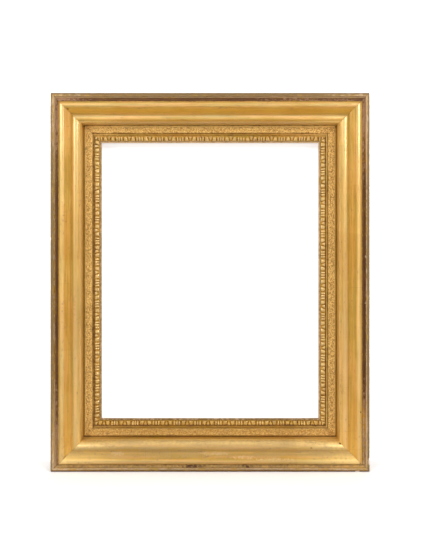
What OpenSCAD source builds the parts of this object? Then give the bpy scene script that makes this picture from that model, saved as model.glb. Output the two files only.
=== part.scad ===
// Gilt picture frame. A lapped and pegged softwood back frame carries four mitred ogee mouldings, four
// frieze rails and four pressed leaf strips. Turn buttons hold a picture in the rebate, and two rings in
// screw eyes hang the frame. +Z is up, the front faces -Y, and z = 0 is the bottom edge.

/* [Sight and rebate] */
// Width of the opening seen from the front
sight_w = 394; // [250:1:700]
// Height of the opening seen from the front
sight_h = 500; // [420:1:900]
// Width of the lip that laps over the picture
lip_w = 7.4; // [5:0.1:9]
// Depth of the shelf cut into the back of the lip
lip_step = 1; // [0.5:0.1:1.5]

/* [Back frame] */
// Thickness of the back planks
plank_t = 16; // [14:0.5:17]
// Radius of the pegs through the corner laps
peg_r = 4; // [2.5:0.1:6]
// Distance of each peg from the middle of its lap, along and across
peg_shift = 17; // [10:0.5:24]

/* [Ogee moulding] */
// Width of the flat fillet along the outer edge
fillet_w = 6.6; // [4:0.1:8]
// Height of the outer fillet above the wall
fillet_top = 50; // [48.5:0.5:53]
// Radius of the rounded outer corner of the fillet
arris_r = 2.5; // [1:0.1:3.5]
// Radius of the cove between the fillet and the roll
cove_r = 3.3; // [2.8:0.1:4]
// Height of the cove's floor above the wall
cove_floor = 45.3; // [44:0.1:45.4]
// Width of the fine land between the cove and the roll
land_w = 1.4; // [0.8:0.1:2.5]
// Radius of the outer roll
roll_r = 7; // [6.5:0.1:7.5]
// Height of the outer roll above the wall
roll_top = 57; // [56.5:0.1:57.5]
// Radius of the hollow between the roll and the swell
hollow_r = 10; // [9:0.1:12]
// Distance from the crest of the roll to the crest of the swell
crest_gap = 24.5; // [22:0.1:27]
// Radius of the inner swell
swell_r = 9; // [8:0.1:9.5]
// Height of the inner swell above the wall
swell_top = 59; // [58.5:0.1:59.5]

/* [Frieze rail] */
// Width of the quirk between the moulding and the frieze
quirk_w = 1.5; // [0.8:0.1:2.5]
// Depth of that quirk
quirk_d = 1.5; // [0.8:0.1:2.5]
// Width of the frieze with its border
frieze_w = 13.7; // [12:0.1:18]
// Height of the frieze's border above the wall
frieze_top = 26; // [25:0.1:28]
// Width of the plain border along the frieze's outer side
border_w = 1.4; // [0.8:0.1:3]
// Depth of the sanded panel below the border
panel_sink = 0.5; // [0.3:0.05:0.8]
// Radius of the fine bead beside the frieze
bead_r = 0.9; // [0.5:0.1:1.2]
// Gap on each side of the bead
bead_gap = 0.9; // [0.5:0.1:1.2]
// Depth of the gaps beside the bead
bead_sink = 1.4; // [0.8:0.1:1.5]
// Width of the leaf strip's sloping seat, seen from the front
seat_w = 10; // [9:0.1:12]
// Height of the seat at its frieze side
seat_high = 24.2; // [23.5:0.1:24.4]
// Height of the seat at its sight side
seat_low = 19.4; // [19.2:0.1:20]
// Width of the flat fillet at the sight edge
sight_fillet_w = 2.6; // [1.5:0.1:3.5]
// Height of the sight fillet above the wall
sight_top = 20.6; // [20.4:0.1:22]

/* [Leaf strip] */
// Clear space at each side of the leaf strip on its seat
leaf_inset = 0.6; // [0.5:0.05:1]
// Thickness of the leaf strip at its edges
leaf_edge = 0.7; // [0.5:0.05:0.8]
// Rise of the leaf strip's crown above its edges
leaf_crown = 1.6; // [1.4:0.05:1.7]
// Length of one tongue with its pair of leaves
leaf_pitch = 37.5; // [30:0.5:45]
// Thickness left under the cuts that shape the leaves
leaf_floor = 0.4; // [0.3:0.05:0.45]
// Distance between the cuts across a tongue
flute_pitch = 4.5; // [4.2:0.1:5]
// Number of cuts across a tongue
flutes = 4; // [2:1:4]
// Slant of the cuts beside the dart
dart_slant = 32; // [20:1:34]
// Distance of those cuts from the middle of the dart
dart_shift = 4.2; // [3.9:0.1:4.8]

/* [Nails and brads] */
// Radius of a nail's shank
nail_r = 1.25; // [1:0.05:1.6]
// Length of a nail, through the plank into the moulding
nail_len = 32; // [26:0.5:36]
// Radius of a nail's head
nail_head_r = 3; // [2.2:0.1:4]
// Thickness of a nail's head
nail_head_t = 1; // [0.6:0.1:1.6]
// Radius of a brad
brad_r = 0.7; // [0.5:0.05:0.9]
// Length of a brad, through the plank into the frieze rail
brad_len = 21; // [19:0.5:22]
// Distance from the moulding to the line of brads
brad_shift = 6; // [4:0.1:7]
// Distance from a corner lap to the nails and brads nearest to it
nail_end_gap = 30; // [20:1:45]
// Number of nails along a horizontal side
nails_across = 3; // [2:1:5]
// Number of nails along a vertical side
nails_up = 4; // [2:1:6]

/* [Turn buttons] */
// Distance from the rebate's edge back to a turn button's pivot
button_setback = 14; // [12:0.5:14.5]
// Distance of each pivot above or below the middle of the frame
button_rise = 120; // [60:1:125]
// Reach of a turn button from its pivot to its tip
button_reach = 21; // [18:0.5:24]
// Half the width of a turn button at its pivot
button_r = 5; // [4.6:0.1:6]
// Half the width of a turn button at its tip
button_tip_r = 3.6; // [2.5:0.1:4.5]
// Thickness of a turn button
button_t = 1.6; // [1:0.1:2.5]
// Radius of a turn button screw's shank
screw_r = 1.6; // [1.2:0.05:2]
// Length of the screw's shank in the wood
screw_bite = 10; // [8:0.5:12]
// Radius of the screw's domed head
screw_head_r = 3.6; // [3:0.1:4.2]
// Rise of the screw's domed head
screw_head_rise = 2.2; // [1.6:0.1:2.8]
// Width of the slot in the screw's head
slot_w = 0.9; // [0.6:0.1:1.2]
// Depth of that slot
slot_d = 0.9; // [0.5:0.1:1.2]

/* [Ring hangers] */
// Distance from the top edge down to the screw eyes
eye_drop = 150; // [125:1:155]
// Distance from the outer edge in to the screw eyes
eye_in = 38.5; // [34:0.5:42]
// Radius of the screw eye's wire
eye_wire_r = 1.1; // [0.9:0.05:1.4]
// Length of the screw eye's shank in the wood
eye_bite = 12; // [9:0.5:12.5]
// Radius of the hanging ring's wire
ring_wire_r = 1.3; // [1:0.05:1.5]
// Radius of the hanging ring to the middle of its wire
ring_r = 11; // [9:0.5:13]

/* [Clearances] */
// Gap around a nail, brad, peg or screw in its hole
hole_gap = 0.05; // [0.03:0.01:0.1]
// Gap between a turn button and its screw, and between it and the wood
turn_gap = 0.08; // [0.05:0.01:0.1]
// Gap around the hanging ring's wire in its eye
ring_gap = 0.5; // [0.4:0.05:0.7]
// Gap between the screw eye's loop and the wood
eye_gap = 0.3; // [0.2:0.05:0.5]

/* [Hidden] */
$fn = 64;

// Overrun of every cut past the face that it opens
cut = 1;

// Colours of the finishes
gilt_colour = [0.80, 0.61, 0.31];
sanded_colour = [0.76, 0.57, 0.31];
leaf_colour = [0.84, 0.66, 0.37];
pine_colour = [0.55, 0.40, 0.25];
peg_colour = [0.66, 0.50, 0.32];
iron_colour = [0.28, 0.25, 0.23];
brass_colour = [0.62, 0.49, 0.26];

// Centres of the moulding's arcs, as [distance in from the outer edge, height above the wall]
cove_c = [fillet_w + cove_r, cove_floor + cove_r];
roll_c = [fillet_w + 2 * cove_r + land_w + roll_r, roll_top - roll_r];
swell_c = [roll_c[0] + crest_gap, swell_top - swell_r];
// The hollow's arc touches both the roll's and the swell's
span_c = norm(swell_c - roll_c);
to_roll = roll_r + hollow_r;
to_swell = swell_r + hollow_r;
foot = (to_roll * to_roll - to_swell * to_swell + span_c * span_c) / (2 * span_c);
along = (swell_c - roll_c) / span_c;
lift = sqrt(to_roll * to_roll - foot * foot);
hollow_c = roll_c + foot * along + lift * [-along[1], along[0]];
moulding_w = swell_c[0] + swell_r;

// Distances in from the outer edge to the steps of the frieze rail
frieze_in = moulding_w + quirk_w;
gap_in = frieze_in + frieze_w;
bead_in = gap_in + bead_gap + bead_r;
seat_in = bead_in + bead_r + bead_gap;
fillet_in = seat_in + seat_w;
sight_in = fillet_in + sight_fillet_w;
seat_angle = atan2(seat_high - seat_low, seat_w);
leaf_w = norm([seat_w, seat_high - seat_low]) - 2 * leaf_inset;
crown_r = (leaf_w * leaf_w / 4 + leaf_crown * leaf_crown) / (2 * leaf_crown);
leaf_cut = leaf_edge + leaf_crown - leaf_floor;

// Outer size, and the planks' width
outer_w = sight_w + 2 * sight_in;
outer_h = sight_h + 2 * sight_in;
plank_w = sight_in - lip_w;
ledge_h = plank_t + lip_step;

// Places of the fixings, measured in from the outer edge
nail_in = moulding_w / 2;
brad_in = moulding_w + brad_shift;
pivot_in = plank_w - button_setback;

// The hangers behind the back plane, and the plane's place, which centres the whole depth
eye_r = ring_wire_r + ring_gap + eye_wire_r;
eye_stand = eye_r + eye_wire_r + eye_gap;
hanger_reach = eye_stand + eye_r + eye_wire_r;
back_y = (swell_top - hanger_reach) / 2;

// Evenly spaced places along a side of a given length, clear of the corner laps
function spots(length, count) =
    let (span = length - 2 * (plank_w + nail_end_gap))
    [for (i = [0 : count - 1]) span * (i / (count - 1) - 1 / 2)];

// Each side is drawn lying along X with its outer edge at z = 0 and its back at y = 0
module on_bottom() translate([0, back_y, 0]) children();
module on_top() translate([0, back_y, outer_h]) rotate([0, 180, 0]) children();
module on_left() translate([-outer_w / 2, back_y, outer_h / 2]) rotate([0, 90, 0]) children();
module on_right() translate([outer_w / 2, back_y, outer_h / 2]) rotate([0, -90, 0]) children();

module on_every_side() {
    on_bottom() children(0);
    on_top() children(0);
    on_left() children(1);
    on_right() children(1);
}

// Drawn shapes, each run along X: their x is the distance in from the outer edge, their y the height
module run_along(length)
    rotate([0, -90, 180])
        for (i = [0 : $children - 1])
            linear_extrude(height = length, center = true) children(i);

// Cuts both ends of a side to 45 degrees
module mitred(length) {
    intersection() {
        children();
        translate([0, cut, 0])
            rotate([90, 0, 0])
                linear_extrude(height = swell_top + 2 * cut)
                    polygon([
                        [-length / 2 - cut, -cut], [length / 2 + cut, -cut],
                        [length / 2 - sight_in - cut, sight_in + cut],
                        [-length / 2 + sight_in + cut, sight_in + cut]
                    ]);
    }
}

// A round bar between two heights above the back plane
module bar(r, low, high) translate([0, -low, 0]) rotate([90, 0, 0]) cylinder(r = r, h = high - low);

module at_nails(length, count)
    for (x = spots(length, count)) translate([x, 0, nail_in]) children();

module at_brads(length, count)
    for (x = spots(length, count)) translate([x, 0, brad_in]) children();

// The two pegs at each end of a side
module at_pegs(length)
    for (end = [-1, 1], shift = [-1, 1])
        translate([end * (length / 2 - plank_w / 2 + shift * peg_shift), 0, plank_w / 2 - shift * peg_shift])
            children();

module nail() {
    bar(nail_head_r, 0, nail_head_t);
    bar(nail_r, 0, nail_len);
}

module nail_hole() {
    bar(nail_head_r + hole_gap, -cut, nail_head_t);
    bar(nail_r + hole_gap, -cut, nail_len);
}

// The holes that a side's planks, moulding and frieze rail share
module side_holes(length, count) {
    at_nails(length, count) nail_hole();
    at_brads(length, count) bar(brad_r + hole_gap, -cut, brad_len);
}

// A back plank, with half its thickness cut away at each end from one height to another
module plank(length, count, low, high) {
    difference() {
        translate([-length / 2, -plank_t, 0]) cube([length, plank_t, plank_w]);
        for (end = [-1, 1])
            translate([end * (length - plank_w + cut) / 2, -(low + high) / 2, plank_w / 2])
                cube([plank_w + cut, high - low, plank_w + 2 * cut], center = true);
        side_holes(length, count);
        at_pegs(length) bar(peg_r + hole_gap, -cut, plank_t + cut);
    }
}

module rail_plank() color(pine_colour) plank(outer_w, nails_across, -cut, plank_t / 2);

// A stile, drilled for its turn button screws and its screw eye
module stile_plank(eye_side) {
    color(pine_colour)
        difference() {
            plank(outer_h, nails_up, plank_t / 2, plank_t + cut);
            for (s = [-1, 1])
                translate([s * button_rise, 0, pivot_in]) bar(screw_r + hole_gap, -cut, screw_bite);
            translate([eye_side * (outer_h / 2 - eye_drop), 0, eye_in])
                bar(eye_wire_r + hole_gap, -cut, eye_bite);
        }
}

module back_rail_top() on_top() rail_plank();
module back_rail_bottom() on_bottom() rail_plank();
module back_stile_left() on_left() stile_plank(-1);
module back_stile_right() on_right() stile_plank(1);

// The ogee moulding before it is mitred: fillet, cove, land, roll, hollow and swell
module ogee(length) {
    difference() {
        run_along(length) {
            polygon([
                [0, plank_t], [0, fillet_top], [fillet_w, fillet_top], cove_c + [-cove_r, 0],
                cove_c + [cove_r, 0], [roll_c[0] - roll_r, cove_c[1]], roll_c, hollow_c, swell_c,
                [moulding_w, swell_c[1]], [moulding_w, plank_t]
            ]);
            translate(roll_c) circle(r = roll_r);
            translate(swell_c) circle(r = swell_r);
        }
        run_along(length + 2 * cut) {
            translate(cove_c) circle(r = cove_r);
            translate(hollow_c) circle(r = hollow_r);
        }
        difference() {
            run_along(length + 2 * cut)
                translate([-cut, fillet_top - arris_r]) square(arris_r + cut);
            run_along(length + 4 * cut)
                translate([arris_r, fillet_top - arris_r]) circle(r = arris_r);
        }
    }
}

module moulding(length, count) {
    color(gilt_colour)
        difference() {
            mitred(length) ogee(length);
            at_nails(length, count) nail_hole();
        }
}

module moulding_top() on_top() moulding(outer_w, nails_across);
module moulding_bottom() on_bottom() moulding(outer_w, nails_across);
module moulding_left() on_left() moulding(outer_h, nails_up);
module moulding_right() on_right() moulding(outer_h, nails_up);

// The frieze rail before it is mitred: quirk, border, sanded panel, bead, leaf seat, sight fillet and lip
module frieze(length)
    run_along(length) {
        polygon([
            [moulding_w, plank_t], [moulding_w, frieze_top - quirk_d], [frieze_in, frieze_top - quirk_d],
            [frieze_in, frieze_top], [frieze_in + border_w, frieze_top],
            [frieze_in + border_w, frieze_top - panel_sink], [gap_in, frieze_top - panel_sink],
            [gap_in, frieze_top - bead_sink], [bead_in - bead_r, frieze_top - bead_sink],
            [bead_in - bead_r, frieze_top],
            [bead_in + bead_r, frieze_top], [bead_in + bead_r, frieze_top - bead_sink],
            [seat_in, frieze_top - bead_sink], [seat_in, seat_high], [fillet_in, seat_low],
            [fillet_in, sight_top], [sight_in, sight_top], [sight_in, ledge_h], [plank_w, ledge_h],
            [plank_w, plank_t]
        ]);
        translate([bead_in, frieze_top]) circle(r = bead_r);
    }

module frieze_rail(length, count) {
    color(sanded_colour)
        difference() {
            mitred(length) frieze(length);
            at_brads(length, count) bar(brad_r + hole_gap, -cut, brad_len);
        }
}

module frieze_rail_top() on_top() frieze_rail(outer_w, nails_across);
module frieze_rail_bottom() on_bottom() frieze_rail(outer_w, nails_across);
module frieze_rail_left() on_left() frieze_rail(outer_h, nails_up);
module frieze_rail_right() on_right() frieze_rail(outer_h, nails_up);

// The leaf strip before it is cut: a flat back and a crowned face, on the sloping seat
module leaf_blank(length)
    run_along(length)
        translate([seat_in, seat_high]) rotate(-seat_angle) translate([leaf_inset, 0])
            intersection() {
                square([leaf_w, leaf_edge + leaf_crown]);
                translate([leaf_w / 2, leaf_edge + leaf_crown - crown_r]) circle(r = crown_r, $fn = 180);
            }

// A cut across the crown of the leaf strip, turned by an angle
module leaf_groove(slant)
    translate([0, -seat_high, seat_in])
        rotate([-seat_angle, 0, 0])
            translate([0, -leaf_edge - leaf_crown, leaf_inset + leaf_w / 2])
                rotate([0, slant, 0])
                    rotate([0, 0, 45])
                        cube([leaf_cut * sqrt(2), leaf_cut * sqrt(2), 2 * leaf_w], center = true);

// Places of the cuts across the tongues, and of the slanting cuts beside the darts, along one strip
function flute_spots(units) = [
    for (i = [-units : units], k = [0 : flutes - 1]) i * leaf_pitch + (k - (flutes - 1) / 2) * flute_pitch
];
function dart_spots(units, side) = [for (i = [-units : units]) (i + 1 / 2) * leaf_pitch + side * dart_shift];

// A strip of tongues cut across by flutes, with a dart between two slanting leaves after each
module leaf_strip(length) {
    units = ceil(length / leaf_pitch / 2);
    room = length / 2 - sight_in - leaf_cut;
    color(leaf_colour)
        difference() {
            mitred(length) leaf_blank(length);
            for (x = flute_spots(units))
                if (abs(x) < room) translate([x, 0, 0]) leaf_groove(0);
            for (side = [-1, 1], x = dart_spots(units, side))
                if (abs(x) < room - leaf_w / 2) translate([x, 0, 0]) leaf_groove(side * dart_slant);
        }
}

module leaf_strip_top() on_top() leaf_strip(outer_w);
module leaf_strip_bottom() on_bottom() leaf_strip(outer_w);
module leaf_strip_left() on_left() leaf_strip(outer_h);
module leaf_strip_right() on_right() leaf_strip(outer_h);

module lap_pegs() color(peg_colour) for (a = [0, 180]) translate([0, back_y, outer_h / 2])
    rotate([0, a, 0]) translate([0, 0, -outer_h / 2]) at_pegs(outer_w) bar(peg_r, 0, plank_t);

module moulding_nails() {
    color(iron_colour)
        on_every_side() {
            at_nails(outer_w, nails_across) nail();
            at_nails(outer_h, nails_up) nail();
        }
}

module frieze_brads() {
    color(iron_colour)
        on_every_side() {
            at_brads(outer_w, nails_across) bar(brad_r, 0, brad_len);
            at_brads(outer_h, nails_up) bar(brad_r, 0, brad_len);
        }
}

// The pivots of the turn buttons, at the back plane
module at_pivot(side, level)
    translate([side * (outer_w / 2 - pivot_in), back_y, outer_h / 2 + level * button_rise]) children();

// A slotted screw with a domed head, bearing on the turn button
module button_screw() {
    head_y = button_t + 2 * turn_gap;
    dome_r = (screw_head_r * screw_head_r + screw_head_rise * screw_head_rise) / (2 * screw_head_rise);
    bar(screw_r, -head_y - screw_head_rise / 2, screw_bite);
    difference() {
        intersection() {
            bar(screw_head_r, -head_y - screw_head_rise, -head_y);
            translate([0, head_y + screw_head_rise - dome_r, 0]) sphere(r = dome_r);
        }
        translate([0, head_y + screw_head_rise, 0])
            cube([slot_w, 2 * slot_d, 2 * screw_head_r + cut], center = true);
    }
}

module turn_button_screws()
    color(brass_colour) for (side = [-1, 1], level = [-1, 1]) at_pivot(side, level) button_screw();

// A turn button, parked with its tip down
module turn_button() {
    tip = button_reach - button_tip_r;
    color(brass_colour)
        difference() {
            union() {
                bar(button_r, -turn_gap - button_t, -turn_gap);
                translate([0, 0, -tip]) bar(button_tip_r, -turn_gap - button_t, -turn_gap);
                translate([0, turn_gap + button_t, 0])
                    rotate([90, 0, 0])
                        linear_extrude(height = button_t)
                            polygon([
                                [-button_r, 0], [button_r, 0], [button_tip_r, -tip], [-button_tip_r, -tip]
                            ]);
            }
            bar(screw_r + turn_gap, -turn_gap - button_t - cut, cut);
        }
}

module turn_button_left_upper() at_pivot(-1, 1) turn_button();
module turn_button_left_lower() at_pivot(-1, -1) turn_button();
module turn_button_right_upper() at_pivot(1, 1) turn_button();
module turn_button_right_lower() at_pivot(1, -1) turn_button();

// The middle of a screw eye's loop
module at_eye(side)
    translate([side * (outer_w / 2 - eye_in), back_y + eye_stand, outer_h - eye_drop]) children();

// A screw eye: a wire loop on a shank that runs into the wood
module screw_eye() {
    color(iron_colour) {
        rotate([0, 90, 0]) rotate_extrude() translate([eye_r, 0]) circle(r = eye_wire_r);
        translate([0, -eye_r, 0]) rotate([90, 0, 0]) cylinder(r = eye_wire_r, h = eye_stand - eye_r + eye_bite);
    }
}

module screw_eye_left() at_eye(-1) screw_eye();
module screw_eye_right() at_eye(1) screw_eye();

// A hanging ring, threaded through the eye and hanging down
module hanging_ring()
    color(iron_colour)
        translate([0, 0, -ring_r]) rotate([90, 0, 0]) rotate_extrude() translate([ring_r, 0]) circle(r = ring_wire_r);

module hanging_ring_left() at_eye(-1) hanging_ring();
module hanging_ring_right() at_eye(1) hanging_ring();

back_rail_top();
back_rail_bottom();
back_stile_left();
back_stile_right();
moulding_top();
moulding_bottom();
moulding_left();
moulding_right();
frieze_rail_top();
frieze_rail_bottom();
frieze_rail_left();
frieze_rail_right();
leaf_strip_top();
leaf_strip_bottom();
leaf_strip_left();
leaf_strip_right();
lap_pegs();
moulding_nails();
frieze_brads();
turn_button_screws();
turn_button_left_upper();
turn_button_left_lower();
turn_button_right_upper();
turn_button_right_lower();
screw_eye_left();
screw_eye_right();
hanging_ring_left();
hanging_ring_right();
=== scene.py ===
"""Gilt picture frame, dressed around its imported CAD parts. Metres, +Z up, the front faces -Y."""
import math

import bpy
import numpy as np
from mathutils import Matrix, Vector


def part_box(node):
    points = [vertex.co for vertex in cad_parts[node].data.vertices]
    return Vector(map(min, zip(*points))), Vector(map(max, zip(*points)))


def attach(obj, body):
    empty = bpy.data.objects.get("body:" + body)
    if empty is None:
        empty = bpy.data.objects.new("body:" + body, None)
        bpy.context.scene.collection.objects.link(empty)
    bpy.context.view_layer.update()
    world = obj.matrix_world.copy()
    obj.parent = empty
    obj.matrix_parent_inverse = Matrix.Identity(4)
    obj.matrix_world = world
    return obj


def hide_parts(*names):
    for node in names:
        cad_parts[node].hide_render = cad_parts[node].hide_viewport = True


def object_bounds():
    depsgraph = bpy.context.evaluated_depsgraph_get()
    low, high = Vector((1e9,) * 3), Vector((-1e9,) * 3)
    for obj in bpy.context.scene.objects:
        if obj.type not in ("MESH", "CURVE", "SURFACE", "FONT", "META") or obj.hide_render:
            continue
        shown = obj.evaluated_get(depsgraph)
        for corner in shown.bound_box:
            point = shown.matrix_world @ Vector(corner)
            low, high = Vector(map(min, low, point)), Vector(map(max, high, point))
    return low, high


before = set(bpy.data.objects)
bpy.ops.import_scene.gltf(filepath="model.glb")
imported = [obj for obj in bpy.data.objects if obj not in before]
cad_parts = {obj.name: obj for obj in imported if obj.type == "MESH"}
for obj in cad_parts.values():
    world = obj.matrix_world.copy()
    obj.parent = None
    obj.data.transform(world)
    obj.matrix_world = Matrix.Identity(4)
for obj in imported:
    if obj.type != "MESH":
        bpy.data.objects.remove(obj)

cad_lo, cad_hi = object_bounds()

# Sizes of the rails' sections in millimetres, the same as the solids have.
# s runs along a side from its middle, t in from the frame's outer edge, and h up from the back plane.
MM = 0.001
WIDTH = (cad_hi.x - cad_lo.x) / MM
HEIGHT = (cad_hi.z - cad_lo.z) / MM
BACK_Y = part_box("back_rail_top")[1].y
PLANK_T = 16.0
FILLET_W = 6.6
FILLET_TOP = 50.0
ARRIS_R = 2.5
COVE_R = 3.3
COVE_FLOOR = 45.3
LAND_W = 1.4
ROLL_R = 7.0
ROLL_TOP = 57.0
HOLLOW_R = 10.0
CREST_GAP = 24.5
SWELL_R = 9.0
SWELL_TOP = 59.0
QUIRK_W = 1.5
QUIRK_D = 1.5
FRIEZE_W = 13.7
FRIEZE_TOP = 26.0
BORDER_W = 1.4
PANEL_SINK = 0.5
BEAD_R = 0.9
BEAD_GAP = 0.9
BEAD_SINK = 1.4
SEAT_W = 10.0
SEAT_HIGH = 24.2
SEAT_LOW = 19.4
SIGHT_FILLET_W = 2.6
SIGHT_TOP = 20.6
LIP_W = 7.4
LIP_STEP = 1.0
LEDGE = PLANK_T + LIP_STEP

# Centres of the moulding's arcs as (t, h). The hollow touches the roll and the swell.
COVE = np.array([FILLET_W + COVE_R, COVE_FLOOR + COVE_R])
ROLL = np.array([FILLET_W + 2 * COVE_R + LAND_W + ROLL_R, ROLL_TOP - ROLL_R])
SWELL = np.array([ROLL[0] + CREST_GAP, SWELL_TOP - SWELL_R])
SPAN = np.linalg.norm(SWELL - ROLL)
FOOT = ((ROLL_R + HOLLOW_R) ** 2 - (SWELL_R + HOLLOW_R) ** 2 + SPAN**2) / (2 * SPAN)
ALONG = (SWELL - ROLL) / SPAN
RISE = math.sqrt((ROLL_R + HOLLOW_R) ** 2 - FOOT**2)
HOLLOW = ROLL + FOOT * ALONG + RISE * np.array([-ALONG[1], ALONG[0]])

# How far in each part begins or has its middle
MOULDING_W = SWELL[0] + SWELL_R
FRIEZE_IN = MOULDING_W + QUIRK_W
PANEL_IN = FRIEZE_IN + BORDER_W
GAP_IN = FRIEZE_IN + FRIEZE_W
BEAD_IN = GAP_IN + BEAD_GAP + BEAD_R
SEAT_IN = BEAD_IN + BEAD_R + BEAD_GAP
FILLET_IN = SEAT_IN + SEAT_W
SIGHT_IN = FILLET_IN + SIGHT_FILLET_W
ROLL_IN = ROLL[0] - ROLL_R

# The leaf strip on its sloping seat
LEAF_INSET = 0.6
LEAF_W = math.hypot(SEAT_W, SEAT_HIGH - SEAT_LOW) - 2 * LEAF_INSET
SEAT_ANGLE = math.atan2(SEAT_HIGH - SEAT_LOW, SEAT_W)
LEAF_STEP = 0.36
LEAF_ACROSS = 35
LEAF_SUNK = 0.3
HOLLOW_REACH = 4

SIDES = ("top", "bottom", "left", "right")
HALF = {"top": WIDTH / 2, "bottom": WIDTH / 2, "left": HEIGHT / 2, "right": HEIGHT / 2}
MITRE_GAP = 0.12
RAIL_STEPS = 1.6
RAIL_SMOOTH, LEAF_SMOOTH = 35.0, 60.0
# How far apart the sides lie in the random fields, and where the friezes begin there
OGEE_STRIDE, FRIEZE_STRIDE, FINISH_STRIDE = 53.0, 31.0, 1000.0
FRIEZE_START = 9


def place(side, s, t, h):
    """World points for places s along a side, t in from its outer edge and h above the back plane."""
    y = BACK_Y - h * MM
    if side == "bottom":
        x, z = s, t
    elif side == "top":
        x, z = s, HEIGHT - t
    elif side == "left":
        x, z = t - WIDTH / 2, s + HEIGHT / 2
    else:
        x, z = WIDTH / 2 - t, s + HEIGHT / 2
    return np.stack([x * MM, y, z * MM], -1)


def finish_place(side, s, t, h):
    """The place that a finish reads, in metres, with the sides far apart."""
    shift = FINISH_STRIDE * (SIDES.index(side) + 1)
    return np.stack([(s + shift) * MM, t * MM, h * MM], -1)


def lattice(ix, iy, seed):
    """A repeatable random number from 0 to 1 for each whole-number place."""
    n = (ix.astype(np.int64) * 374761393 + iy.astype(np.int64) * 668265263 + seed * 69069) & 0x7FFFFFFF
    n = ((n ^ (n >> 13)) * 1274126177) & 0x7FFFFFFF
    return ((n ^ (n >> 16)) & 0xFFFF) / 65535.0


def noise(x, y, seed, octaves=3):
    """Smooth noise from -1 to 1, finer by half at each octave."""
    x, y = np.broadcast_arrays(np.asarray(x, float), np.asarray(y, float))
    total, size, norm = 0.0, 1.0, 0.0
    for octave in range(octaves):
        fx, fy = np.floor(x), np.floor(y)
        u, v = x - fx, y - fy
        u, v = u * u * (3 - 2 * u), v * v * (3 - 2 * v)
        k = seed * 17 + octave
        a, b = lattice(fx, fy, k), lattice(fx + 1, fy, k)
        c, d = lattice(fx, fy + 1, k), lattice(fx + 1, fy + 1, k)
        total = total + size * (a + (b - a) * u + (c - a) * v + (a - b - c + d) * u * v)
        norm += size
        size *= 0.5
        x, y = x * 2.03 + 7.1, y * 2.03 + 3.7
    return 2 * total / norm - 1


def rise(x, a, b):
    """A smooth step from 0 at a to 1 at b."""
    u = np.clip((x - a) / (b - a), 0, 1)
    return u * u * (3 - 2 * u)


def bump(x, mid, half):
    """A smooth bump of height 1 at mid that ends half a width away on each side."""
    return rise(1 - np.abs(x - mid) / half, 0, 1)


def arc(centre, radius, start, end, count):
    """Points on an arc from one angle to another, in degrees."""
    a = np.radians(np.linspace(start, end, count))
    return [(centre[0] + radius * math.cos(x), centre[1] + radius * math.sin(x)) for x in a]


def angle_to(a, b):
    """The direction from one point to another, in degrees."""
    return math.degrees(math.atan2(b[1] - a[1], b[0] - a[0]))


def straight(a, b, count):
    """Points from a to b, without b."""
    return [tuple(np.array(a) + (np.array(b) - np.array(a)) * i / count) for i in range(count)]


def enclosed(co, quads):
    """Six times the volume inside the faces, which is negative where they face inward."""
    corner = co[quads]
    turn = np.cross(corner[:, 1] - corner[:, 0], corner[:, 2] - corner[:, 0])
    return np.einsum("ij,ij->", corner[:, 0] - co.mean(0), turn)


def mesh_from_grid(name, points, data, smooth_angle):
    """A piece from a grid of points. Its second direction closes on itself, and its ends are capped."""
    ni, nj = points.shape[:2]
    index = np.arange(ni * nj).reshape(ni, nj)
    after = np.roll(index, -1, 1)
    quads = np.stack([index[:-1], after[:-1], after[1:], index[1:]], -1).reshape(-1, 4)
    faces = quads.tolist() + [index[0][::-1].tolist(), index[-1].tolist()]
    co = points.reshape(-1, 3)
    if enclosed(co, quads) < 0:
        faces = [face[::-1] for face in faces]
    mesh = bpy.data.meshes.new(name)
    mesh.from_pydata(co.tolist(), [], faces)
    for key, values in data.items():
        kind, field = ("FLOAT_VECTOR", "vector") if values.ndim == 3 else ("FLOAT", "value")
        flat = values.reshape(-1).astype(np.float32)
        mesh.attributes.new(key, kind, "POINT").data.foreach_set(field, flat)
    mesh.polygons.foreach_set("use_smooth", [True] * len(mesh.polygons))
    mesh.set_sharp_from_angle(angle=math.radians(smooth_angle))
    mesh.update()
    piece = bpy.data.objects.new(name, mesh)
    bpy.context.scene.collection.objects.link(piece)
    return piece


def section_normals(section):
    """Outward normals of a closed section, as [along t, along h]."""
    p = np.array(section)
    d = np.roll(p, -1, 0) - np.roll(p, 1, 0)
    n = np.stack([-d[:, 1], d[:, 0]], -1)
    area = np.sum(p[:, 0] * np.roll(p[:, 1], -1) - np.roll(p[:, 0], -1) * p[:, 1])
    n = n if area < 0 else -n
    return n / np.linalg.norm(n, axis=1)[:, None]


def rail(name, side, section, push, marks):
    """A mitred rail. push gives how far each point moves outward, marks its named values for the finish."""
    p = np.array(section)
    n = section_normals(section)
    f = np.linspace(-1, 1, int(RAIL_STEPS * HALF[side]) + 1)
    t = np.broadcast_to(p[:, 0], (len(f), len(p)))
    h = np.broadcast_to(p[:, 1], (len(f), len(p)))
    s = f[:, None] * (HALF[side] - t - MITRE_GAP)
    d = push(side, s, t, h)
    t_out, h_out = t + n[:, 0] * d, h + n[:, 1] * d
    s_out = f[:, None] * (HALF[side] - t_out - MITRE_GAP)
    data = marks(side, s, t, h)
    data["st"] = finish_place(side, s, t, h)
    return mesh_from_grid(name, place(side, s_out, t_out, h_out), data, RAIL_SMOOTH)


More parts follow.
